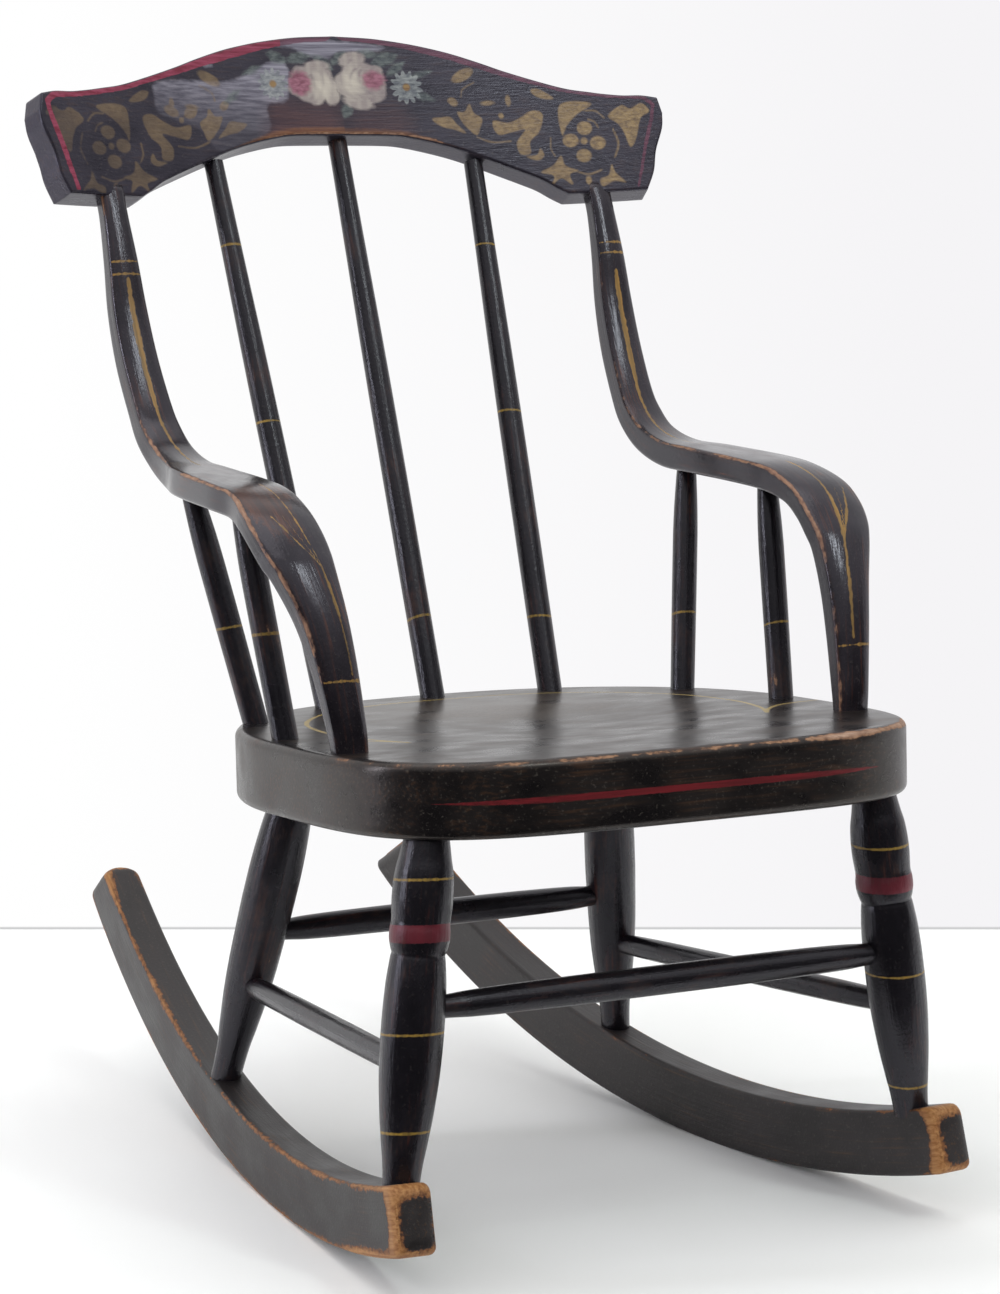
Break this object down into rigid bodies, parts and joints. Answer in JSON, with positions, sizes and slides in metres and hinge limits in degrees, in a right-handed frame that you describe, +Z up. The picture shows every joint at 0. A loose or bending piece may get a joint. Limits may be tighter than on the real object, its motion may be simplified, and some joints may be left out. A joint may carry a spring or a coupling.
{
  "type": "boston rocking chair",
  "caption": "Painted wooden child's rocking chair: plank seat, turned legs and spindles, one-piece scrolled arms and a wide shaped crest rail, on sawn curved rockers.",
  "frame": {"origin": "middle of the chair's footprint box, on the floor", "axes": "+Z up, -Y the way the sitter faces, +X the chair's right side as seen from its front"},
  "size_m": [0.4422, 0.6166, 0.6846],
  "materials": {
    "crest_paint": "worn dark brown-black gloss paint with gold stencilling and a red stripe",
    "arm_paint": "worn glossy black paint with yellow lines",
    "turning_paint": "worn glossy black paint with yellow and red rings",
    "seat_paint": "satin brown-black paint, rubbed on top, with a yellow line and a red stripe",
    "rocker_paint": "dull black paint, rubbed to bare wood at edges and ends"
  },
  "bodies": {
    "root": {"front_leg_left": "turning_paint", "rear_leg_left": "turning_paint", "rocker_left": "rocker_paint", "arm_spindle_rear_left": "turning_paint", "arm_spindle_front_left": "turning_paint", "arm_left": "arm_paint", "front_leg_right": "turning_paint", "rear_leg_right": "turning_paint", "rocker_right": "rocker_paint", "arm_spindle_rear_right": "turning_paint", "arm_spindle_front_right": "turning_paint", "arm_right": "arm_paint", "back_spindle_left": "turning_paint", "back_spindle_middle": "turning_paint", "back_spindle_right": "turning_paint", "front_stretcher": "turning_paint", "rear_stretcher": "turning_paint", "side_stretcher_left": "turning_paint", "side_stretcher_right": "turning_paint", "seat": "seat_paint", "crest_rail": "crest_paint"}
  },
  "joints": []
}
